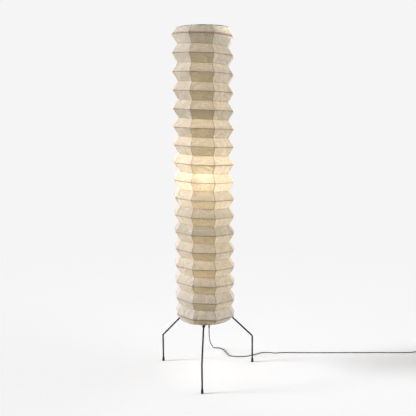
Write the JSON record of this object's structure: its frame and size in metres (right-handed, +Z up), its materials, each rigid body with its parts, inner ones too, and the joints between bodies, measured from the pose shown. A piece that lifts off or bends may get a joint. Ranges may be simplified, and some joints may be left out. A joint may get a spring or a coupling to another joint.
{
  "type": "paper lantern floor lamp",
  "caption": "Tall paper bellows lantern on bent rod legs, lit by a bulb inside, with an in-line switch and a coiled mains cord.",
  "frame": {"origin": "centre of the feet's footprint, on the floor; the shade's axis stands 67 mm behind it and 11 mm to its left", "axes": "+Z up along the shade, front of the lamp at -Y, cord leaves towards +X"},
  "size_m": [1.7022, 0.6872, 1.92],
  "materials": {
    "leg_paint": "satin black paint on bent steel rod",
    "foot_rubber": "moulded rubber",
    "hub_paint": "satin black paint on turned steel",
    "frame_steel": "dark grey painted steel",
    "zinc": "zinc plated",
    "clip_steel": "blued spring steel",
    "ring_steel": "dark painted wire",
    "washi": "handmade paper with fibres, matt and translucent",
    "bamboo": "split bamboo strip",
    "holder_black": "moulded phenolic",
    "porcelain": "unglazed porcelain",
    "holder_brass": "pressed sheet",
    "bulb_metal": "pressed cap",
    "bulb_glass": "frosted glass, lit from inside",
    "cord_sheath": "smooth dark grey sheath",
    "switch_plastic": "fine grained moulding",
    "rocker_plastic": "smooth moulding",
    "screw_steel": "pan head screws",
    "plug_plastic": "smooth moulding",
    "pin_metal": "nickel plated"
  },
  "bodies": {
    "stand": {"leg_front": "leg_paint", "leg_left": "leg_paint", "leg_right": "leg_paint", "foot_front": "foot_rubber", "foot_left": "foot_rubber", "foot_right": "foot_rubber", "hub": "hub_paint", "hub_set_screws": "zinc", "post": "frame_steel", "post_locknut": "zinc", "arm_locknut": "zinc", "bottom_arm": "frame_steel", "stretcher_left": "frame_steel", "stretcher_right": "frame_steel", "stretcher_nuts": "zinc", "top_bridge": "frame_steel", "ring_clip_front": "clip_steel", "ring_clip_left": "clip_steel", "ring_clip_right": "clip_steel", "bottom_ring": "ring_steel", "shade_paper": "washi", "shade_rib": "bamboo", "holder_cap": "holder_black", "holder_skirt": "holder_black", "holder_insert": "porcelain", "holder_shell": "holder_brass", "holder_contact": "holder_brass", "cord_gland": "foot_rubber", "inner_lead": "cord_sheath", "lead_clips": "switch_plastic", "cord_run": "cord_sheath", "switch_base": "switch_plastic", "switch_cover": "switch_plastic", "switch_screws": "screw_steel", "cord_link": "cord_sheath", "cord_coil": "cord_sheath", "cord_tie": "switch_plastic", "cord_tail": "cord_sheath", "plug_body": "plug_plastic", "plug_pins": "pin_metal"},
    "top_ring": {"top_ring": "ring_steel"},
    "bulb": {"bulb_cap": "bulb_metal", "bulb_globe": "bulb_glass"},
    "rocker": {"switch_rocker": "rocker_plastic"}
  },
  "joints": [
    {"name": "top_ring_lift", "type": "slide", "parent": "stand", "child": "top_ring", "axis": [0, 0, 1], "range_m": [0, 0.02], "deforming": ["shade_paper", "shade_rib"]},
    {"name": "bulb_unscrew", "type": "hinge", "parent": "stand", "child": "bulb", "pos_m": [-0.01071, 0.06729, 1.052], "axis": [0, 0, 1], "range_deg": [0, 1080]},
    {"name": "rocker_tip", "type": "hinge", "parent": "stand", "child": "rocker", "pos_m": [1.32729, 0.31529, 0.0175], "axis": [0, 1, 0], "range_deg": [-18, 0]}
  ]
}
